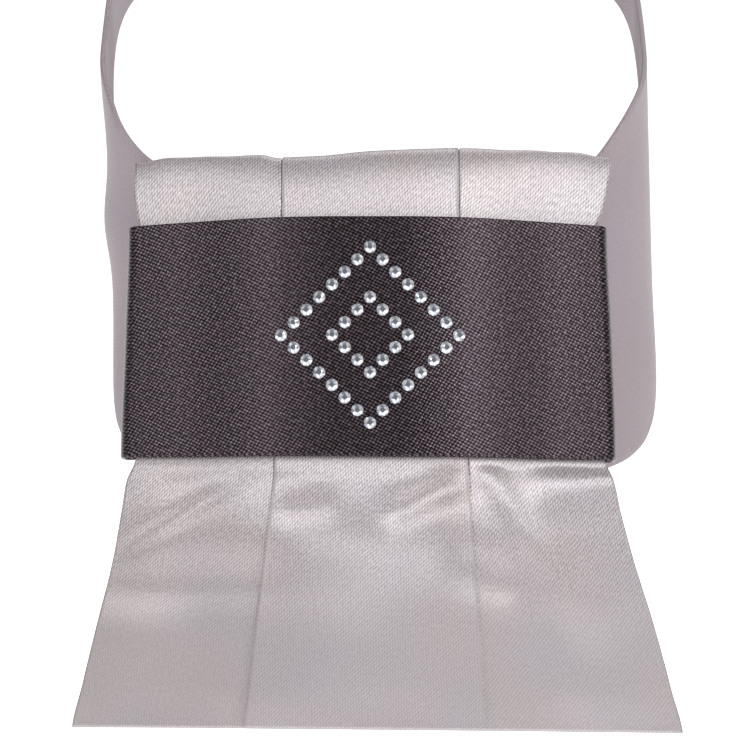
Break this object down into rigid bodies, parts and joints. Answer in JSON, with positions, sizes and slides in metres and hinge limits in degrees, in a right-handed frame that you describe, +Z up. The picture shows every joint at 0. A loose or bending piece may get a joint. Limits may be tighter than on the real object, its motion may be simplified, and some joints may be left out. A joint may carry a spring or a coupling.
{
  "type": "neck stock",
  "caption": "Satin neck stock: pleated front with a rolled top, black cross band with a crystal lozenge motif, and a tapered neck strap closed behind.",
  "frame": {"origin": "middle of the neck opening, where the strap sits round the neck", "axes": "+Z up as worn, +X to the viewer's right facing the wearer, the front looks along -Y"},
  "size_m": [0.136, 0.156, 0.1765],
  "materials": {
    "grey_satin": "silver-mauve polyester satin, soft sheen",
    "black_satin": "black polyester satin, low sheen",
    "hook_and_loop": "grey woven hook-and-loop tape",
    "cut_crystal": "faceted, foil-backed"
  },
  "bodies": {
    "root": {"neck_strap": "grey_satin", "closure_pad": "hook_and_loop", "pleated_front": "grey_satin", "black_band": "black_satin", "stone_01": "cut_crystal", "stone_02": "cut_crystal", "stone_03": "cut_crystal", "stone_04": "cut_crystal", "stone_05": "cut_crystal", "stone_06": "cut_crystal", "stone_07": "cut_crystal", "stone_08": "cut_crystal", "stone_09": "cut_crystal", "stone_10": "cut_crystal", "stone_11": "cut_crystal", "stone_12": "cut_crystal", "stone_13": "cut_crystal", "stone_14": "cut_crystal", "stone_15": "cut_crystal", "stone_16": "cut_crystal", "stone_17": "cut_crystal", "stone_18": "cut_crystal", "stone_19": "cut_crystal", "stone_20": "cut_crystal", "stone_21": "cut_crystal", "stone_22": "cut_crystal", "stone_23": "cut_crystal", "stone_24": "cut_crystal", "stone_25": "cut_crystal", "stone_26": "cut_crystal", "stone_27": "cut_crystal", "stone_28": "cut_crystal", "stone_29": "cut_crystal", "stone_30": "cut_crystal", "stone_31": "cut_crystal", "stone_32": "cut_crystal", "stone_33": "cut_crystal", "stone_34": "cut_crystal", "stone_35": "cut_crystal", "stone_36": "cut_crystal", "stone_37": "cut_crystal", "stone_38": "cut_crystal", "stone_39": "cut_crystal", "stone_40": "cut_crystal"}
  },
  "joints": []
}
